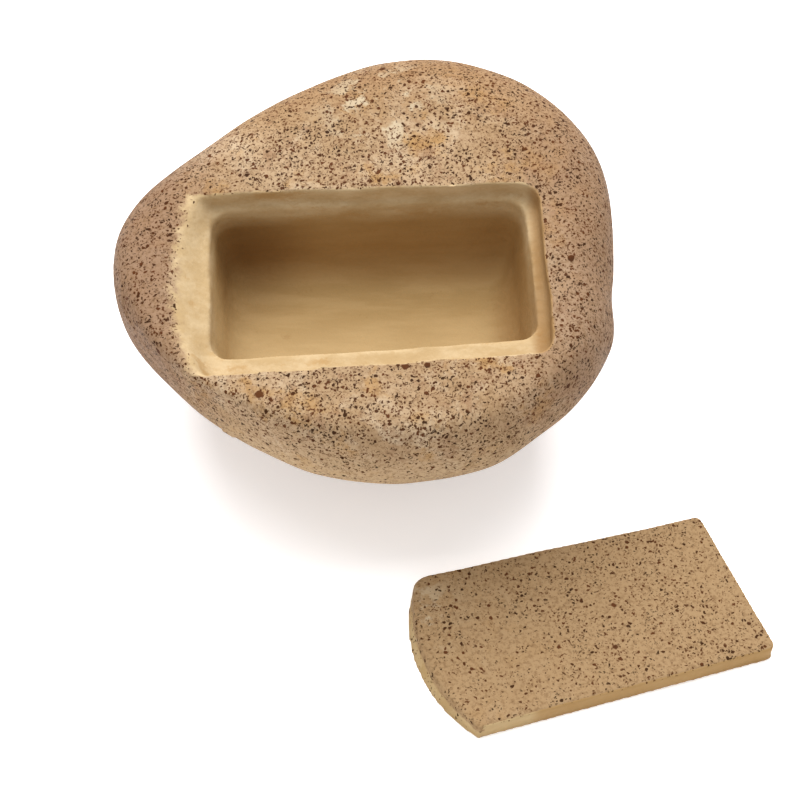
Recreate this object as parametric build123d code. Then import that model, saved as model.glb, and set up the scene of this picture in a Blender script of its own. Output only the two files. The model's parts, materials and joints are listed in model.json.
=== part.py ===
from build123d import *
import math
import os

# A hollow stone that hides a small object, with a cover that drops into its flat face.
# All sizes are in mm and degrees. The stone lies open on its rounded back, as it is filled,
# and its cover lies beside it on the table, painted face up.

# Stone. Its own frame has +Z out of the flat face, +X to the blunt end and +Y to the high side,
# and the middle of the compartment is the zero point.
# Radii of the girth every 30 degrees, from the blunt end round by the high side.
# The flat face has its own, smaller radii at the same angles; they are least along the front,
# where the stone rolls over towards the table.
girth_radii = (44.1, 49.2, 53.5, 54.2, 53.5, 58.5, 72.3, 66.1, 58.9, 55.3, 52, 48.6)
girth_depth = 16
girth_centre = (11.7, 13.6)
face_radii = (36.5, 40.5, 44.2, 44.4, 44.1, 48, 59, 54, 42, 37.5, 38.5, 40)
face_centre = (7, 2)
stone_depth = 70
back_share = 0.2
back_centre = (8, 24)
back_roundness = 0.65
shoulder_sections = 6
back_sections = 8

# How the stone lies: the middle of its flat face above the table, and its tip to the front.
face_height = 62
face_tip = 15

# Seat that the cover drops into, with a sloping wall at the stone's narrow end for a fingertip.
seat_length = 77.4
seat_width_wide = 44.6
seat_width_narrow = 42.4
seat_turn = 3.3
seat_shift = (-0.3, 0.6)
seat_bow = 5
seat_slope = 3
seat_corner = 4

# Compartment in the floor of the seat, narrower towards its own floor.
bay_length = 71.8
bay_width_wide = 37.6
bay_width_narrow = 35.4
bay_depth = 23
bay_draft = 7
bay_corner = 4
bay_floor_round = 7
bay_shift = (0, 3)

# Cover: a plate with a bowed and sloping end, and the gaps round it when it is in its seat,
# pushed to the far side, where the ledge under it is narrow.
cover_thickness = 4.9
flush_clearance = 0.3
cover_far_gap = 0.4
cover_near_gap = 3
cover_blunt_gap = 1.4
cover_bow_gap = 0.5
cover_bow = 6.6
cover_skew = 4
cover_end_slope = 2
cover_corner = 2

# Where the cover lies, from the middle of the compartment, and its turn on the table.
cover_place = (48.9, -52)
cover_turn = 15.6


def outline(depth, radii, centre):
    """Closed smooth outline of the stone at one depth below its flat face."""
    step = 2 * math.pi / len(radii)
    points = []
    for number, radius in enumerate(radii):
        x = centre[0] + radius * math.cos(number * step)
        y = centre[1] + radius * math.sin(number * step)
        points.append(Vector(x, y, -depth))
    return Wire([Edge.make_spline(points, periodic=True)])


def between(start, end, share):
    """Point part of the way from start to end."""
    return tuple(a + (b - a) * share for a, b in zip(start, end))


def stone_blank():
    """Cobble lofted from its flat face over the shoulder and girth to its rounded back."""
    outlines = []
    for number in range(shoulder_sections):
        angle = number / shoulder_sections * math.pi / 2
        rise = math.sin(angle)
        radii = between(face_radii, girth_radii, rise)
        depth = girth_depth * (1 - math.cos(angle))
        outlines.append(outline(depth, radii, between(face_centre, girth_centre, rise)))
    last_angle = math.acos(back_share ** (1 / back_roundness))
    for number in range(back_sections + 1):
        angle = number / back_sections * last_angle
        drop = math.sin(angle)
        radii = [radius * math.cos(angle) ** back_roundness for radius in girth_radii]
        depth = girth_depth + (stone_depth - girth_depth) * drop
        outlines.append(outline(depth, radii, between(girth_centre, back_centre, drop)))
    return Solid.make_loft(outlines, ruled=False)


def bowed_plan(left, right, wide, narrow, bow, corner, lean=0):
    """Four-sided plan, wide at -X where its end is bowed out, narrow and rounded at +X."""
    far_left = (left - lean * wide / 2, wide / 2)
    near_left = (left + lean * wide / 2, -wide / 2)
    near_right = (right + lean * narrow / 2, -narrow / 2)
    far_right = (right - lean * narrow / 2, narrow / 2)
    end = ThreePointArc(near_left, (left - bow, 0), far_left)
    plan = make_face(end + Polyline(far_left, far_right, near_right, near_left))
    return fillet(plan.vertices().sort_by(Axis.X)[-2:], corner)


def seat_depth():
    """Depth of the seat, which the cover fills up to the flat face."""
    return cover_thickness + flush_clearance


def seat_ends():
    """Where the seat's straight part begins and ends along the stone, at the seat's floor."""
    left = seat_shift[0] - seat_length / 2 + seat_slope
    right = seat_shift[0] + seat_length / 2
    return left, right


def seat_cut():
    """Space of the cover's seat: three upright walls and a sloping one at the narrow end."""
    left, right = seat_ends()
    widths = (seat_width_wide, seat_width_narrow)
    floor = bowed_plan(left, right, *widths, seat_bow, seat_corner)
    top = bowed_plan(left - 2 * seat_slope, right, *widths, seat_bow, seat_corner)
    cut = loft([floor, Pos(0, 0, 2 * seat_depth()) * top], ruled=True)
    return Pos(0, seat_shift[1], -seat_depth()) * cut


def bay_cut():
    """Space of the compartment, with sloping walls and a rounded floor."""
    half = bay_length / 2
    wide = bay_width_wide / 2
    narrow = bay_width_narrow / 2
    corners = [(-half, wide), (half, narrow), (half, -narrow), (-half, -wide)]
    plan = fillet(make_face(Polyline(*corners, close=True)).vertices(), bay_corner)
    cut = extrude(plan, amount=bay_depth, dir=(0, 0, -1), taper=bay_draft)
    floor = cut.faces().sort_by(Axis.Z)[0]
    cut = fillet(floor.edges(), bay_floor_round)
    mouth = extrude(plan, amount=seat_depth(), dir=(0, 0, 1))
    return Pos(bay_shift[0], bay_shift[1], -seat_depth()) * (cut + mouth)


def stone():
    """The stone as it lies, with the small foot where its back meets the table."""
    turned = Rot(0, 0, seat_turn)
    cut = stone_blank() - turned * seat_cut() - turned * bay_cut()
    placed = Location((0, 0, face_height), (face_tip, 0, 0)) * cut
    size = placed.bounding_box().size
    above_table = Pos(0, 0, size.Z) * Box(2 * size.X, 2 * size.Y, 2 * size.Z)
    return placed & above_table


def cover_plan(bow):
    """Plan of the cover about the middle of the compartment, smaller than its seat by its gaps."""
    seat_left, seat_right = seat_ends()
    left = seat_left - seat_bow + cover_bow_gap + cover_bow
    right = seat_right - cover_blunt_gap
    wide = seat_width_wide - cover_far_gap - cover_near_gap
    narrow = seat_width_narrow - cover_far_gap - cover_near_gap
    lean = math.tan(math.radians(cover_skew))
    return bowed_plan(left, right, wide, narrow, bow, cover_corner, lean)


def cover():
    """The cover lying flat on the table, its sloping end widest at its underside."""
    under = cover_plan(cover_bow)
    over = Pos(0, 0, cover_thickness) * cover_plan(cover_bow - cover_end_slope)
    return loft([under, over], ruled=True)


def main():
    """Both pieces as they lie, over the middle of the space that they take up on the table."""
    os.makedirs("parts", exist_ok=True)
    rock_body = stone()
    lid = Location((cover_place[0], cover_place[1], 0), (0, 0, cover_turn)) * cover()
    box = Compound([rock_body, lid]).bounding_box()
    middle = Pos(-box.center().X, -box.center().Y, -box.min.Z)
    export_step(middle * rock_body, "parts/rock_body.step")
    export_step(middle * lid, "parts/lid.step")
    print("whole size", box.size, "moved by", middle.position)


main()
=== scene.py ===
import json
import math
from types import SimpleNamespace

import bmesh
import bpy
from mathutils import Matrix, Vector, noise


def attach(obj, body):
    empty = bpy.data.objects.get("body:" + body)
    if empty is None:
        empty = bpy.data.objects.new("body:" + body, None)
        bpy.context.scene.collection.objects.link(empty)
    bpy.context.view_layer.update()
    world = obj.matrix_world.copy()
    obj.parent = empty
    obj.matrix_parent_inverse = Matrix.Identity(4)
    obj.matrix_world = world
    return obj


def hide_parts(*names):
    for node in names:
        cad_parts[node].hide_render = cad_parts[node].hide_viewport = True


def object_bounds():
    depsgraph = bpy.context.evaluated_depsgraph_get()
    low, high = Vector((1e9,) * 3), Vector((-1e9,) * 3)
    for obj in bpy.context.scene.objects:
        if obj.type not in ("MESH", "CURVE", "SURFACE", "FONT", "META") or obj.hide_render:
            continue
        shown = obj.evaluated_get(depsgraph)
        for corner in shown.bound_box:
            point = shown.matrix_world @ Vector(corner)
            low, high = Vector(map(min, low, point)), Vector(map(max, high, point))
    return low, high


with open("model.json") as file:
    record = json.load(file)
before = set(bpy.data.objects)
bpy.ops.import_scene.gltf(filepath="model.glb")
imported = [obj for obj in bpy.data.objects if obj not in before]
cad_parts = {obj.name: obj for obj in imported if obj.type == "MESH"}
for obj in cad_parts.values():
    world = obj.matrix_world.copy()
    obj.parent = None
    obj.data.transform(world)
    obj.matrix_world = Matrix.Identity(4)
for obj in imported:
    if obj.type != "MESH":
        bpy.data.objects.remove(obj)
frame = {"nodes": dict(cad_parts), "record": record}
cad_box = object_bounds()

# Stone
# A hollow garden stone cast in filled resin, pulled from a soft mould by hand, so its edges are
# slightly wavy. The outside is washed in sandy tones and spattered with dark brown paint. The seat
# and the compartment stay bare resin, and the paint thins out over the ramp at the narrow end.

# Millimetres in the frame of the flat face, from the middle of the seat, unless a line says metres.
MM_PER_METRE = 1000
SAME_POINT_METRES = 1e-6
STONE_SKIN_METRES = 0.00078
FACE_MIDDLE = (7, 34)
SEAT_TURN = math.radians(3.3)
SEAT_RIGHT = 38.4
SEAT_LEFT = -39
SEAT_MIDDLE = 0.6
SEAT_HALF_WIDE = 22.3
SEAT_HALF_NARROW = 21.2
SEAT_DEPTH = 5.2
BELOW_SEAT = -SEAT_DEPTH - 2

# The ramp starts on the seat's floor and runs out to the flat face at the narrow end.
RAMP_START = -35.6
RAMP_BULGE = 6.5
RAMP_SIDE_FADE = 2
RAMP_PAST_SIDE = 5
RAMP_WALL_GAP = 0.5

# The paint stops short of the seat, in a bow over the ramp and round the two blunt corners.
PAINT_LEFT = -37.3
PAINT_BULGE = 3.6
PAINT_FADE = 5
PAINT_CORNER = 4

# The compartment, and the shoulder where the flat face rolls over to the sides.
BAY_FLOOR = -29.5
HOLLOW_TOP = -SEAT_DEPTH - 3
HOLLOW_EDGE = -0.6
DEEP_START = -SEAT_DEPTH - 1
DEEP_FADE = 6
SHOULDER_LOW = -14
SHOULDER_EDGE = 1

# How many times the hand went over each part of the skin.
SMOOTH_STEP = 0.5
SKIN_TIMES = 2
RAMP_TIMES = 10
HOLLOW_TIMES = 20
SHOULDER_TIMES = 30

# Unevenness of the casting: waves in a metre, where each starts, and its height in metres.
SLOW_WAVES = 45
SLOW_HEIGHT = 0.00035
QUICK_WAVES = 130
QUICK_START = Vector((3, 1, 7))
QUICK_HEIGHT = 0.00012
RIM_WAVES = 90
RIM_START = Vector((9, 4, 2))
RIM_SWAY = 0.0005
RIM_REACH = 5
RIM_LOW = -8
FOOT_HIGH_METRES = 0.0004
FOOT_CLEAR_METRES = 0.0003
FAR_OUTSIDE = 20

# Small lumps of the girth: the angle in degrees, from the blunt end round by the high side, and
# the height. A least-squares fit to the stone's outline gave these heights.
GIRTH_MIDDLE = (11.7, 13.6)
LUMP_WIDTH = 9
LUMPS_EDGE = 3
GIRTH_LUMPS = ((-6, 1.4), (13, -0.2), (33, 0.6), (53, 0.4), (72, -0.4), (89, 0.6), (105, 0.8),
               (121, -0.3), (135, 0.2), (148, 0.3), (160, 0.1), (171, 1.2), (184, -0.3),
               (196, 0.7), (208, -0.6), (219, -0.4), (230, -0.4), (242, 0.6), (271, -0.3),
               (287, 0.6), (302, -0.7), (319, -0.6), (336, 1.0))

face = next(m for m in frame["record"]["mounts"] if m["name"] == "base_face")
face_up = Vector(face["axis"]).normalized()
face_across = Vector((1, 0, 0))
face_back = face_up.cross(face_across)
to_middle = (face_across * FACE_MIDDLE[0] + face_back * FACE_MIDDLE[1]) / MM_PER_METRE
face_zero = Vector(face["pos_m"]) - to_middle


def turned(x, y, turn):
    """A point along and across lines that are turned by that angle."""
    along = x * math.cos(turn) + y * math.sin(turn)
    across = y * math.cos(turn) - x * math.sin(turn)
    return along, across


def on_face(point):
    """Millimetres along the seat, across it, and out of the flat face, from the seat's middle."""
    off = (point - face_zero) * MM_PER_METRE
    along, across = turned(off.dot(face_across), off.dot(face_back), SEAT_TURN)
    return along, across, off.dot(face_up)


def skin_of(piece):
    """The skin of a piece, opened for shaping."""
    bm = bmesh.new()
    bm.from_mesh(piece.data)
    return bm


def even_skin(node, name, size):
    """A copy of a CAD solid with one even, fine skin that can be shaped by hand."""
    piece = bpy.data.objects.new(name, frame["nodes"][node].data.copy())
    bpy.context.collection.objects.link(piece)
    bm = skin_of(piece)
    bmesh.ops.remove_doubles(bm, verts=bm.verts, dist=SAME_POINT_METRES)
    bm.to_mesh(piece.data)
    bm.free()
    skin = piece.modifiers.new("even skin", "REMESH")
    skin.mode = "VOXEL"
    skin.voxel_size = size
    bpy.context.view_layer.update()
    ready = piece.evaluated_get(bpy.context.evaluated_depsgraph_get())
    shaped = bpy.data.meshes.new_from_object(ready)
    piece.modifiers.clear()
    piece.data = shaped
    return piece


def finish_skin(piece, bm, **values):
    """Puts the shaped skin back, smooth, with the values at its points that the paint follows."""
    bm.to_mesh(piece.data)
    bm.free()
    for name, numbers in values.items():
        piece.data.attributes.new(name, "FLOAT", "POINT").data.foreach_set("value", numbers)
    for polygon in piece.data.polygons:
        polygon.use_smooth = True


def soften(bm, verts, times):
    """Moves each point part of the way to the middle of its neighbours, that many times."""
    for _ in range(times):
        bmesh.ops.smooth_vert(bm, verts=verts, factor=SMOOTH_STEP,
                              use_axis_x=True, use_axis_y=True, use_axis_z=True)


def eased(share):
    """From 0 to 1 with a soft start and a soft end."""
    return share * share * (3 - 2 * share)


def bowed(left, bulge, aside):
    """How far the bowed narrow end reaches, at that distance from the middle of the seat."""
    return left - bulge * max(0, 1 - (aside / SEAT_HALF_WIDE) ** 2)


def edge_of_bare(along, across):
    """Millimetres outside the bare seat: below zero in it, and stretched where the paint fades."""
    reach = (along - SEAT_LEFT) / (SEAT_RIGHT - SEAT_LEFT)
    half = SEAT_HALF_WIDE + (SEAT_HALF_NARROW - SEAT_HALF_WIDE) * reach
    aside = abs(across - SEAT_MIDDLE)
    past_end = along - SEAT_RIGHT + PAINT_CORNER
    past_side = aside - half + PAINT_CORNER
    if past_end > 0 and past_side > 0:
        return math.hypot(past_end, past_side) - PAINT_CORNER
    over_ramp = (bowed(PAINT_LEFT, PAINT_BULGE, aside) - along) / PAINT_FADE
    return max(aside - half, along - SEAT_RIGHT, over_ramp)


def onto_ramp(along, aside, up):
    """The move that takes a point of the narrow end onto the ramp."""
    end = bowed(SEAT_LEFT, RAMP_BULGE, aside)
    climb = min(1, (RAMP_START - along) / (RAMP_START - end))
    share = min(1, max(0, (SEAT_HALF_WIDE - aside) / RAMP_SIDE_FADE)) if climb < 1 else 0
    return face_up * (-SEAT_DEPTH * (1 - eased(climb)) - up) * share / MM_PER_METRE


def girth_lump(point, normal):
    """The move that the lumps of the girth give a point, most where the side is steep."""
    out = (point - face_zero) * MM_PER_METRE
    x = out.dot(face_across) - GIRTH_MIDDLE[0]
    y = out.dot(face_back) - GIRTH_MIDDLE[1]
    turn = math.degrees(math.atan2(y, x))
    near = [((turn - at + 180) % 360 - 180, high) for at, high in GIRTH_LUMPS]
    lump = sum(high * math.exp(-(off / LUMP_WIDTH) ** 2) for off, high in near)
    steep = 1 - abs(normal.dot(face_up))
    return (face_across * x + face_back * y).normalized() * lump * steep / MM_PER_METRE


stone = even_skin("rock_body", "stone", STONE_SKIN_METRES)
bm = skin_of(stone)
soften(bm, bm.verts, SKIN_TIMES)
ramp = []
hollow = []
shoulder = []
for v in bm.verts:
    along, across, up = on_face(v.co)
    aside = abs(across - SEAT_MIDDLE)
    edge = edge_of_bare(along, across)
    if along < RAMP_START and aside < SEAT_HALF_WIDE + RAMP_PAST_SIDE and up > BELOW_SEAT:
        ramp.append(v)
        v.co += onto_ramp(along, aside, up)
    if BAY_FLOOR < up < HOLLOW_TOP and edge < HOLLOW_EDGE and along > RAMP_START:
        hollow.append(v)
    if up > SHOULDER_LOW and edge > SHOULDER_EDGE:
        shoulder.append(v)
soften(bm, ramp, RAMP_TIMES)
soften(bm, hollow, HOLLOW_TIMES)
soften(bm, shoulder, SHOULDER_TIMES)
bm.normal_update()
edges = []
depths = []
for v in bm.verts:
    along, across, up = on_face(v.co)
    outside = up < BAY_FLOOR or (up < BELOW_SEAT and along < RAMP_START - RAMP_WALL_GAP)
    edge = FAR_OUTSIDE if outside else edge_of_bare(along, across)
    edges.append(edge)
    depths.append(min(1, max(0, (DEEP_START - up) / DEEP_FADE)))
    near_rim = max(0, 1 - abs(edge) / RIM_REACH) if up > RIM_LOW else 0
    slow = noise.noise(v.co * SLOW_WAVES)
    quick = noise.noise(v.co * QUICK_WAVES + QUICK_START)
    sway = noise.noise_vector(v.co * RIM_WAVES + RIM_START)
    move = v.normal * (-SLOW_HEIGHT * (1 + slow) + QUICK_HEIGHT * quick)
    move += near_rim * RIM_SWAY * (face_across * sway.x + face_back * sway.y)
    if edge > LUMPS_EDGE:
        move += girth_lump(v.co, v.normal)
    if v.co.z > FOOT_HIGH_METRES:
        v.co += move
        v.co.z = max(v.co.z, FOOT_CLEAR_METRES)
        v.co = Vector([max(low, min(high, c)) for c, low, high in zip(v.co, *cad_box)])
finish_skin(stone, bm, rim=edges, deep=depths)


def add(tree, kind, settings=(), **inputs):
    """One shader node. An input is a number, a colour or another node's output."""
    made = tree.nodes.new("ShaderNode" + kind)
    for key, value in dict(settings).items():
        setattr(made, key, value)
    for key, value in inputs.items():
        by_number = key[0] == "i" and key[1:].isdigit()
        socket = made.inputs[int(key[1:])] if by_number else made.inputs[key]
        if isinstance(value, bpy.types.NodeSocket):
            tree.links.new(value, socket)
        else:
            socket.default_value = value
    return made


def maths(tree, kind, a, b=0.0, c=0.0):
    """One sum of two or three values."""
    return add(tree, "Math", {"operation": kind}, i0=a, i1=b, i2=c).outputs[0]


def fade(tree, value, low, high, start=0.0, end=1.0):
    """A soft step from start to end as value goes from low to high."""
    made = add(tree, "MapRange", {"interpolation_type": "SMOOTHSTEP"}, Value=value)
    for key, number in (("From Min", low), ("From Max", high), ("To Min", start), ("To Max", end)):
        if isinstance(number, bpy.types.NodeSocket):
            tree.links.new(number, made.inputs[key])
        else:
            made.inputs[key].default_value = number
    return made.outputs["Result"]


def cloud(tree, where, size, detail=2.0, rough=0.5, swirl=0.0):
    """Soft mottling with patches of about that size in metres."""
    made = add(tree, "TexNoise", Vector=where, Scale=1 / size, Detail=detail, Roughness=rough,
               Distortion=swirl)
    return made.outputs["Fac"]


def mixed(tree, share, one, other):
    """A colour between one and the other."""
    made = add(tree, "Mix", {"data_type": "RGBA", "clamp_factor": True}, i0=share)
    for number, colour in ((6, one), (7, other)):
        if isinstance(colour, bpy.types.NodeSocket):
            tree.links.new(colour, made.inputs[number])
        else:
            made.inputs[number].default_value = (*colour, 1)
    return made.outputs[2]


def patched(tree, where, patches, colours, tone):
    """The tone with patches of other colours over it, each over the ones before."""
    for colour, size, detail, rough, swirl, low, high, most in patches:
        share = fade(tree, cloud(tree, where, size, detail, rough, swirl), low, high, 0.0, most)
        tone = mixed(tree, share, tone, colours[colour])
    return tone


def away_from(tree, where, spot):
    """Distance from a spot, in metres."""
    return add(tree, "VectorMath", {"operation": "DISTANCE"}, i0=where, i1=spot).outputs["Value"]


def stretched(tree, where, share):
    """The place with its patterns drawn out along the seat."""
    made = add(tree, "Mapping", Vector=where)
    made.inputs["Scale"].default_value = (share, 1, 1)
    return made.outputs[0]


def shaken(tree, where, wobble, reach):
    """The place moved about by up to half of that reach in metres, which frays what is on it."""
    by = add(tree, "VectorMath", {"operation": "SCALE"}, i0=wobble, Scale=reach).outputs[0]
    return add(tree, "VectorMath", {"operation": "ADD"}, i0=where, i1=by).outputs[0]


def point_value(tree, name):
    """The value that the shaped skin carries at its points under that name."""
    settings = {"attribute_name": name, "attribute_type": "GEOMETRY"}
    return add(tree, "Attribute", settings).outputs["Fac"]


# Where the paint is, in metres: waves of the shaking, and how far it frays patches and drops.
WOBBLE_WAVES = 1000.0
RAGGED_REACH = 0.0016
FRAYED_REACH = 0.0008


def places(tree):
    """The point on the object, the same point shaken a lot and a little, and its three axes."""
    still = add(tree, "TexCoord").outputs["Object"]
    wobble = add(tree, "TexNoise", Vector=still, Scale=WOBBLE_WAVES, Detail=3.0).outputs["Color"]
    middle = (0.5, 0.5, 0.5)
    wobble = add(tree, "VectorMath", {"operation": "SUBTRACT"}, i0=wobble, i1=middle).outputs[0]
    ragged = shaken(tree, still, wobble, RAGGED_REACH)
    frayed = shaken(tree, still, wobble, FRAYED_REACH)
    axes = add(tree, "SeparateXYZ", Vector=still).outputs
    return SimpleNamespace(still=still, ragged=ragged, frayed=frayed,
                           x=axes["X"], y=axes["Y"], z=axes["Z"])


# Patches: colour, size in metres, detail, roughness, swirl, the two values of the noise between
# which a patch comes up, and its most share.
FIRST_PATCHES = (("tan", 0.022, 3.0, 0.6, 0.0, 0.4, 0.6, 1.0),)
WASH_PATCHES = (("orange", 0.011, 4.0, 0.65, 0.0, 0.5, 0.66, 0.85),
                ("cream", 1 / 75, 5.0, 0.7, 0.6, 0.5, 0.66, 0.8),
                ("russet", 0.0042, 4.0, 0.7, 0.0, 0.52, 0.68, 0.6))
SEAT_PATCHES = (("light", 0.005, 5.0, 0.65, 0.0, 0.35, 0.65, 1.0),
                ("honey", 0.007, 5.0, 0.7, 0.0, 0.55, 0.68, 0.6))
BAY_STREAKS = (("streak", 1 / 260, 4.0, 0.6, 0.0, 0.35, 0.65, 1.0),)
BAY_STAINS = (("brown", 0.006, 4.0, 0.7, 0.0, 0.6, 0.74, 0.35),)
SEAT_STRETCH = 0.4
BAY_STRETCH = 0.2

# Tints that come up along one axis: from and to in metres, and the share at each.
# Both ends: painted shade browns the wash there, and the drops crowd thicker, which is the paint's own.
BLUNT_END = (0.008, 0.036, 0.0, 1.2)
NARROW_END = (-0.066, -0.044, 1.45, 0.0)
TOP_FAR = (0.035, 0.06)
TOP_HIGH = (0.045, 0.062)
# The low front: painted light makes the wash paler there, and the drops thin out, which is the paint's
# own.
FRONT_LOW = (0.03, 0.052, 1.0, 0.0)
FRONT_NEAR = (-0.03, -0.005, 1.0, 0.0)
RAMP_PALE = (-0.05, -0.044, 0.1, 0.0)
BLUNT_LEDGE = (0.0195, 0.0225, 0.0, 0.7)
# Painted light: the near part of the compartment's floor paler.
BAY_FLOOR_PAINTED_LIGHT = (-0.002, 0.02, 0.5, 0.0)
# Painted shade: the compartment's blunt and far walls browner.
BAY_BLUNT_WALL_SHADE = (0.011, 0.018, 0.0, 0.55)
BAY_FAR_WALL_SHADE = (0.02, 0.026, 0.0, 0.5)
# Share of the painted shade that browns both ends.
ENDS_PAINTED_SHADE = 0.6
TOP_ORANGE = 0.45
TOP_BROWN = 0.4
# Share of the painted light on the low front.
FRONT_PAINTED_LIGHT = 0.7

# Fine grain of the wash, and the one place where it is rubbed down to chalk.
GRAIN_SIZE = 0.0009
GRAIN_SHOWS = (0.34, 0.56, 0.55, 0.0)
GRAIN_BROWN = (0.15, 0.08, 0.035)
CHALK_REACH = (0.004, 0.02, 1.0, 0.0)
CHALK_SIZE = 0.0065
CHALK_SHOWS = (0.5, 0.6)
CHALK_SHARE = 0.8
CHALK_WHITE = (0.46, 0.38, 0.26)
# Painted shade in one corner of the compartment: from and to in metres from its spot, and the share at
# each.
CORNER_SHADE_REACH = (0.003, 0.022, 0.6, 0.0)


def washed(tree, at, ends, low, wash, chalk):
    """Sandy patches that run into each other, browned at both ends as painted shade, more orange
    on the far top, paler low on the front as painted light, and rubbed down to chalk in one place."""
    tone = patched(tree, at.still, FIRST_PATCHES, wash, wash["sand"])
    tone = patched(tree, at.ragged, WASH_PATCHES, wash, tone)
    # Painted shade: both ends browner.
    tone = mixed(tree, maths(tree, "MULTIPLY", ends, ENDS_PAINTED_SHADE), tone, wash["brown"])
    top = maths(tree, "MULTIPLY", fade(tree, at.y, *TOP_FAR), fade(tree, at.z, *TOP_HIGH))
    tone = mixed(tree, maths(tree, "MULTIPLY", top, TOP_ORANGE), tone, wash["orange"])
    tone = mixed(tree, maths(tree, "MULTIPLY", top, TOP_BROWN), tone, wash["brown"])
    # Painted light: paler low on the front.
    tone = mixed(tree, maths(tree, "MULTIPLY", low, FRONT_PAINTED_LIGHT), tone, wash["pale"])
    grain = fade(tree, cloud(tree, at.still, GRAIN_SIZE, 3.0, 0.75), *GRAIN_SHOWS)
    tone = mixed(tree, grain, tone, GRAIN_BROWN)
    rubbed = fade(tree, away_from(tree, at.ragged, chalk), *CHALK_REACH)
    broken = fade(tree, cloud(tree, at.ragged, CHALK_SIZE, 4.0, 0.6), *CHALK_SHOWS)
    rubbed = maths(tree, "MULTIPLY", rubbed, broken)
    return mixed(tree, maths(tree, "MULTIPLY", rubbed, CHALK_SHARE), tone, CHALK_WHITE)


# Drops: the cell that holds one, and its least and most width, in metres.
DUST = (0.0006, 0.00028, 0.00056)
FINE = (0.0009, 0.0004, 0.00085)
SMALL = (0.0015, 0.0005, 0.0011)
BLOTS = (0.0053, 0.0011, 0.0022)
DUST_STRENGTH = 0.8
SMALL_SHARE = 0.9
BLOTS_SHARE = 0.45
DROP_SHIFT = (0.37, 0.11, 0.23)
DROP_MOSTLY_SMALL = 1.5
DROP_CORE = 0.75
CROWD_SIZE = 0.016
CROWDING = (0.3, 0.7, 0.6, 1.35)
FRONT_THINNING = -0.7
ENDS_CROWDING = 0.7
STRAY_FULL = 0.6
DROP_SHADE_SIZE = 0.0035
DROP_SHADES = (0.35, 0.65)
DROP_DARK = (0.022, 0.006, 0.001)
DROP_BROWN = (0.075, 0.022, 0.006)


def drops(tree, where, cell, least, most, share, seed):
    """Spattered drops of paint, from least to most across, in that share of the cells."""
    shift = tuple(seed * step for step in DROP_SHIFT)
    moved = add(tree, "VectorMath", {"operation": "ADD"}, i0=where, i1=shift)
    spots = add(tree, "TexVoronoi", {"feature": "F1", "voronoi_dimensions": "3D"},
                Vector=moved.outputs[0], Scale=1 / cell, Randomness=1.0)
    dice = add(tree, "SeparateColor", Color=spots.outputs["Color"])
    chance = maths(tree, "POWER", dice.outputs[0], DROP_MOSTLY_SMALL)
    radius = maths(tree, "MULTIPLY_ADD", chance, (most - least) / 2 / cell, least / 2 / cell)
    there = maths(tree, "LESS_THAN", dice.outputs[1], share)
    core = maths(tree, "MULTIPLY", radius, DROP_CORE)
    return maths(tree, "MULTIPLY", fade(tree, spots.outputs["Distance"], core, radius, 1.0, 0.0), there)


def spatter(tree, at, edge, ends, low, bare_at, stray):
    """Mostly fine dots, fewer drops and a few blots, thinner low on the front, finer and thicker
    at both ends, and dying away over the edge of the bare resin."""
    dense = fade(tree, cloud(tree, at.still, CROWD_SIZE, 3.0), *CROWDING)
    thinner = maths(tree, "MULTIPLY_ADD", low, FRONT_THINNING, 1.0)
    dense = maths(tree, "MULTIPLY", dense, thinner)
    dense = maths(tree, "MULTIPLY", dense, fade(tree, edge, bare_at - stray, bare_at + STRAY_FULL))
    thicker = maths(tree, "MULTIPLY_ADD", ends, ENDS_CROWDING, 1.0)
    crowd = maths(tree, "MULTIPLY", dense, thicker)
    dust = drops(tree, at.ragged, *DUST, crowd, 1)
    fine = drops(tree, at.ragged, *FINE, crowd, 2)
    small = drops(tree, at.frayed, *SMALL, maths(tree, "MULTIPLY", dense, SMALL_SHARE), 3)
    blots = drops(tree, at.frayed, *BLOTS, maths(tree, "MULTIPLY", dense, BLOTS_SHARE), 4)
    little = maths(tree, "MAXIMUM", maths(tree, "MULTIPLY", dust, DUST_STRENGTH), fine)
    return maths(tree, "MAXIMUM", little, maths(tree, "MAXIMUM", small, blots))


def bare_resin(tree, at, bare, shade_spot):
    """Pale and patchy on the seat, browner in the compartment, with faint brush streaks along it and a
    few stains. Painted shade browns its blunt and far sides and darkens one corner, and painted light
    makes the near part of its floor paler."""
    smeared = stretched(tree, at.ragged, SEAT_STRETCH)
    seat = patched(tree, smeared, SEAT_PATCHES, bare, bare["dull"])
    seat = mixed(tree, fade(tree, at.x, *RAMP_PALE), seat, bare["milk"])
    seat = mixed(tree, fade(tree, at.x, *BLUNT_LEDGE), seat, bare["brown"])
    brushed = stretched(tree, at.still, BAY_STRETCH)
    bay = patched(tree, brushed, BAY_STREAKS, bare, bare["bed"])
    # Painted light on the near part of the floor.
    bay = mixed(tree, fade(tree, at.y, *BAY_FLOOR_PAINTED_LIGHT), bay, bare["milk"])
    # Painted shade on the compartment's blunt and far walls.
    walls = maths(tree, "MAXIMUM", fade(tree, at.x, *BAY_BLUNT_WALL_SHADE), fade(tree, at.y, *BAY_FAR_WALL_SHADE))
    bay = mixed(tree, walls, bay, bare["brown"])
    bay = patched(tree, at.ragged, BAY_STAINS, bare, bay)
    # Painted shade in one corner of the compartment.
    corner = fade(tree, away_from(tree, at.ragged, shade_spot), *CORNER_SHADE_REACH)
    bay = mixed(tree, corner, bay, bare["corner_shade"])
    return mixed(tree, point_value(tree, "deep"), seat, bay)


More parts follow.
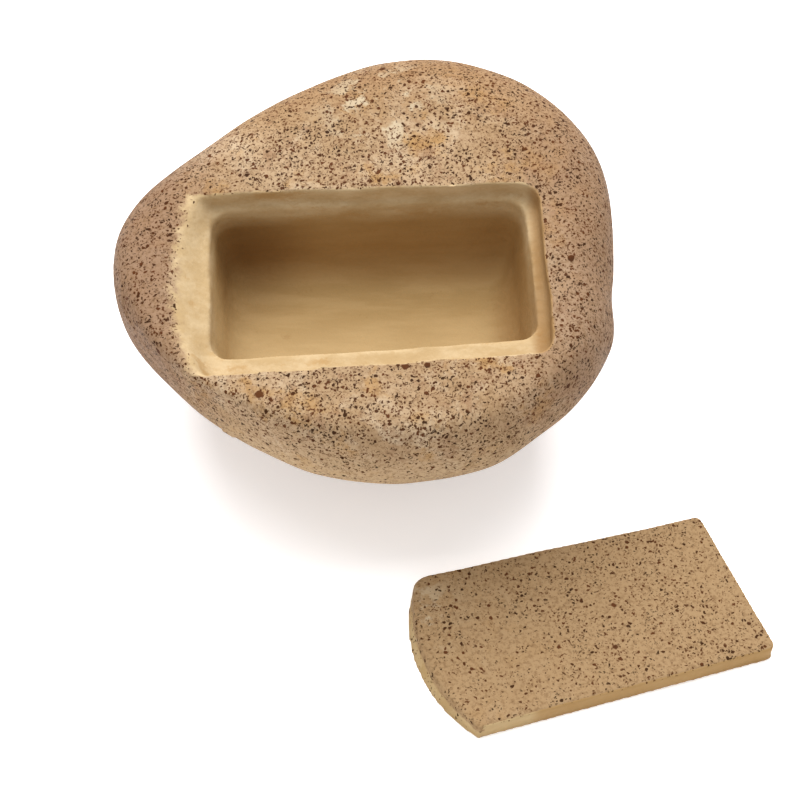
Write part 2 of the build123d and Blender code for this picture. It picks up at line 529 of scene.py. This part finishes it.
# The ragged edge of the wash in millimetres, the gloss, and the grit in metres.
EDGE_SIZE = 0.0024
EDGE_RAGGED = 1.6
EDGE_SOFT = 0.35
SPATTER_SHARE = 0.95
GLOSS_SIZE = 0.006
GLOSS_ROUGHNESS = (0.3, 0.7, 0.5, 0.7)
SHEEN = 0.02
FINE_GRIT = 0.0009
FINE_GRIT_HEIGHT = 0.3
COARSE_GRIT = 0.004
COARSE_GRIT_HEIGHT = 0.8
DROP_HEIGHT = 0.15
GRIT_STRENGTH = 0.5
GRIT_DEPTH = 0.0006


def spattered_resin(name, bare_at, stray, wash, bare, chalk, shade_spot):
    """Washed and spattered paint where the rim value is above bare_at, and bare resin below it."""
    made = bpy.data.materials.new(name)
    made.use_nodes = True
    tree = made.node_tree
    skin = tree.nodes["Principled BSDF"]
    at = places(tree)
    edge = point_value(tree, "rim")
    # The ends carry painted shade in the wash and the paint's own crowding of the drops.
    ends = maths(tree, "MAXIMUM", fade(tree, at.x, *BLUNT_END), fade(tree, at.x, *NARROW_END))
    # The low front carries painted light in the wash and the paint's own thinning of the drops.
    low = maths(tree, "MULTIPLY", fade(tree, at.z, *FRONT_LOW), fade(tree, at.y, *FRONT_NEAR))
    tone = washed(tree, at, ends, low, wash, chalk)
    dirt = spatter(tree, at, edge, ends, low, bare_at, stray)
    shade = fade(tree, cloud(tree, at.still, DROP_SHADE_SIZE), *DROP_SHADES)
    dark = mixed(tree, shade, DROP_DARK, DROP_BROWN)
    plain = bare_resin(tree, at, bare, shade_spot)

    # Where the wash stops: a ragged edge, over which the drops run on.
    frays = cloud(tree, at.still, EDGE_SIZE, 4.0, 0.65)
    frays = maths(tree, "MULTIPLY_ADD", frays, EDGE_RAGGED, -EDGE_RAGGED / 2)
    ragged_edge = maths(tree, "ADD", edge, frays)
    painted = fade(tree, ragged_edge, bare_at - EDGE_SOFT, bare_at + EDGE_SOFT)
    colour = mixed(tree, painted, plain, tone)
    colour = mixed(tree, maths(tree, "MULTIPLY", dirt, SPATTER_SHARE), colour, dark)
    tree.links.new(colour, skin.inputs["Base Color"])

    gloss = fade(tree, cloud(tree, at.still, GLOSS_SIZE, 3.0), *GLOSS_ROUGHNESS)
    tree.links.new(gloss, skin.inputs["Roughness"])
    skin.inputs["Specular IOR Level"].default_value = SHEEN
    fine = maths(tree, "MULTIPLY", cloud(tree, at.still, FINE_GRIT, 3.0, 0.6), FINE_GRIT_HEIGHT)
    coarse = maths(tree, "MULTIPLY", cloud(tree, at.still, COARSE_GRIT, 3.0, 0.6), COARSE_GRIT_HEIGHT)
    rough = maths(tree, "MULTIPLY_ADD", dirt, DROP_HEIGHT, maths(tree, "ADD", fine, coarse))
    relief = add(tree, "Bump", Height=rough, Strength=GRIT_STRENGTH, Distance=GRIT_DEPTH)
    tree.links.new(relief.outputs[0], skin.inputs["Normal"])
    return made


STONE_BARE_AT = 0.6
STONE_STRAY = 0.4
# Its pale entry is the colour of the painted light low on the front.
stone_wash = {"sand": (0.32, 0.208, 0.113), "tan": (0.39, 0.272, 0.165),
              "orange": (0.33, 0.185, 0.068), "cream": (0.45, 0.34, 0.225),
              "russet": (0.24, 0.133, 0.073), "brown": (0.24, 0.145, 0.09),
              "pale": (0.45, 0.322, 0.185)}
# Its last entry is the colour of the painted shade in the compartment's far corner at the narrow end.
stone_bare = {"dull": (0.41, 0.285, 0.145), "light": (0.5, 0.375, 0.22),
              "honey": (0.37, 0.22, 0.085), "bed": (0.37, 0.24, 0.1),
              "streak": (0.42, 0.28, 0.125), "brown": (0.26, 0.135, 0.045),
              "milk": (0.52, 0.385, 0.21), "corner_shade": (0.12, 0.05, 0.012)}
stone_chalk = face_zero + (face_across * 2 + face_back * 46) / MM_PER_METRE
# The spot of the painted shade in the compartment's far corner at the narrow end.
stone_shade_spot = face_zero + (face_across * -31 + face_back * 17 - face_up * 18) / MM_PER_METRE
stone.data.materials.clear()
stone_paint = spattered_resin("stone_paint", STONE_BARE_AT, STONE_STRAY, stone_wash, stone_bare,
                              stone_chalk, stone_shade_spot)
stone.data.materials.append(stone_paint)
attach(stone, "stone")
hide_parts("rock_body")

# Cover
# A thin plate of the same resin, poured by hand, with one bowed end that was filed to a slope.
# Its upper face is washed darker than the stone and spattered; its edges are bare resin, but for
# the upper half of the bowed end, over which the paint runs.

# Metres for the skin and its unevenness, and millimetres from the cover's own zero point.
COVER_SKIN_METRES = 0.00055
COVER_TIMES = 3
COVER_SLOW_WAVES = 60
COVER_SLOW_START = Vector((5, 5, 5))
COVER_EDGE_WAVES = 80
COVER_EDGE_START = Vector((1, 8, 3))
COVER_UNEVEN = 0.0002
COVER_UNDERSIDE = 0.0008
COVER_TURN = math.radians(15.6)
COVER_MIDDLE = (48.9, -52)
COVER_CORNER = (-30.5, 12.6)
CORNER_ROUND = 8
CORNER_LAST_ANGLE = 152

# The paint covers what faces up, and the bowed end down to that height.
FACES_UP = 0.8
FACES_UP_SHARPLY = 10
BOW_START = -31
PAINT_LOW = 2.6
PAINT_LOW_FADE = 0.8

cover = even_skin("lid", "cover", COVER_SKIN_METRES)
bm = skin_of(cover)
soften(bm, bm.verts, COVER_TIMES)
bm.normal_update()
for v in bm.verts:
    slow = noise.noise(v.co * COVER_SLOW_WAVES + COVER_SLOW_START)
    sway = noise.noise_vector(v.co * COVER_EDGE_WAVES + COVER_EDGE_START)
    if v.co.z > COVER_UNDERSIDE:
        sideways = Vector((sway.x, sway.y, 0)) * COVER_UNEVEN
        v.co += v.normal * (-COVER_UNEVEN * (1 + slow)) + sideways
bm.normal_update()
level = []
for v in bm.verts:
    x = (v.co.x - face_zero.x) * MM_PER_METRE - COVER_MIDDLE[0]
    y = (v.co.y - face_zero.y) * MM_PER_METRE - COVER_MIDDLE[1]
    along, across = turned(x, y, COVER_TURN)
    out = Vector((along - COVER_CORNER[0], across - COVER_CORNER[1]))
    past_corner = out.x < 0 < out.y and out.length > CORNER_ROUND
    if past_corner and math.degrees(math.atan2(out.y, out.x)) < CORNER_LAST_ANGLE:
        in_by = out * (1 - CORNER_ROUND / out.length) / MM_PER_METRE
        in_x, in_y = turned(in_by.x, in_by.y, -COVER_TURN)
        v.co.x -= in_x
        v.co.y -= in_y
    above = (v.normal.z - FACES_UP) * FACES_UP_SHARPLY
    if along < BOW_START:
        above = max(above, (v.co.z * MM_PER_METRE - PAINT_LOW) * PAINT_LOW_FADE)
    level.append(above)
finish_skin(cover, bm, rim=level)

COVER_BARE_AT = 0.2
COVER_STRAY = 6
# Its pale entry is the colour of the painted light low on the front.
cover_wash = {"sand": (0.262, 0.165, 0.08), "tan": (0.315, 0.207, 0.108),
              "orange": (0.255, 0.14, 0.048), "cream": (0.33, 0.236, 0.14),
              "russet": (0.20, 0.113, 0.055), "brown": (0.27, 0.172, 0.088),
              "pale": (0.315, 0.207, 0.108)}
cover_dull = (0.37, 0.25, 0.115)
cover_light = (0.42, 0.30, 0.155)
cover_honey = (0.32, 0.185, 0.07)
cover_bare = {"dull": cover_dull, "light": cover_light, "honey": cover_honey, "bed": cover_dull,
              "streak": cover_light, "brown": cover_honey, "milk": cover_light,
              "corner_shade": cover_honey}
cover_chalk = Vector((-0.012, -0.05, 0.005))
cover.data.materials.clear()
# The chalk spot serves as the spot of the painted corner shade too.
cover_paint = spattered_resin("cover_paint", COVER_BARE_AT, COVER_STRAY, cover_wash, cover_bare,
                              cover_chalk, cover_chalk)
cover.data.materials.append(cover_paint)
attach(cover, "cover")
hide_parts("lid")

# Studio
# A white sheet under the object, lit through from below so that its edges vanish, in a dim white
# surround. One wide lamp stands high behind the object, and a weak one stands in front.

SHEET_REACH = 4
SHEET_WHITE = (0.93, 0.92, 0.925, 1)
SHEET_ROUGHNESS = 0.9
SHEET_GLOW = (1, 0.985, 0.98, 1)
SHEET_GLOW_STRENGTH = 0.4
SURROUND_WHITE = (1, 1, 1, 1)
SURROUND_STRENGTH = 0.55

floor_mesh = bpy.data.meshes.new("floor")
bm = bmesh.new()
bmesh.ops.create_grid(bm, x_segments=1, y_segments=1, size=SHEET_REACH)
bm.to_mesh(floor_mesh)
bm.free()
floor = bpy.data.objects.new("floor", floor_mesh)
bpy.context.collection.objects.link(floor)
sheet_paint = bpy.data.materials.new("white_sheet")
sheet_paint.use_nodes = True
sheet_skin = sheet_paint.node_tree.nodes["Principled BSDF"]
sheet_skin.inputs["Base Color"].default_value = SHEET_WHITE
sheet_skin.inputs["Roughness"].default_value = SHEET_ROUGHNESS
sheet_skin.inputs["Specular IOR Level"].default_value = 0.0
sheet_skin.inputs["Emission Color"].default_value = SHEET_GLOW
sheet_skin.inputs["Emission Strength"].default_value = SHEET_GLOW_STRENGTH
floor.data.materials.append(sheet_paint)

surround = bpy.data.worlds.new("surround")
bpy.context.scene.world = surround
surround.use_nodes = True
surround_light = surround.node_tree.nodes["Background"]
surround_light.inputs["Color"].default_value = SURROUND_WHITE
surround_light.inputs["Strength"].default_value = SURROUND_STRENGTH


def lamp(name, place, aim, size, power):
    """A square lamp of that size in metres and power in watts, turned to what it lights."""
    light = bpy.data.lights.new(name, "AREA")
    light.size = size
    light.energy = power
    shown = bpy.data.objects.new(name, light)
    bpy.context.collection.objects.link(shown)
    shown.location = place
    shown.rotation_euler = (Vector(aim) - Vector(place)).to_track_quat("-Z", "Y").to_euler()


LAMP_AIM = (0, 0, 0.03)
lamp("key_lamp", (-0.05, 0.36, 1.0), LAMP_AIM, 1.1, 22)
lamp("front_lamp", (-0.1, -0.9, 0.55), LAMP_AIM, 0.9, 1)

# The camera leans 40 degrees from straight down. Lens and sensor are in millimetres.
CAMERA_TILT = math.radians(40)
CAMERA_FAR = 0.400
CAMERA_LENS = 69.75
CAMERA_SENSOR = 36
CAMERA_NEAREST = 0.01
look_at = Vector((face_zero.x + 0.0062, face_zero.y + 0.016, 0))
eye = bpy.data.cameras.new("eye")
eye.lens = CAMERA_LENS
eye.sensor_width = CAMERA_SENSOR
eye.clip_start = CAMERA_NEAREST
eye_object = bpy.data.objects.new("eye", eye)
bpy.context.collection.objects.link(eye_object)
from_object = Vector((0, -math.sin(CAMERA_TILT), math.cos(CAMERA_TILT)))
eye_object.location = look_at + from_object * CAMERA_FAR
eye_object.rotation_euler = (CAMERA_TILT, 0, 0)
bpy.context.scene.camera = eye_object
bpy.context.scene.view_settings.view_transform = "Standard"

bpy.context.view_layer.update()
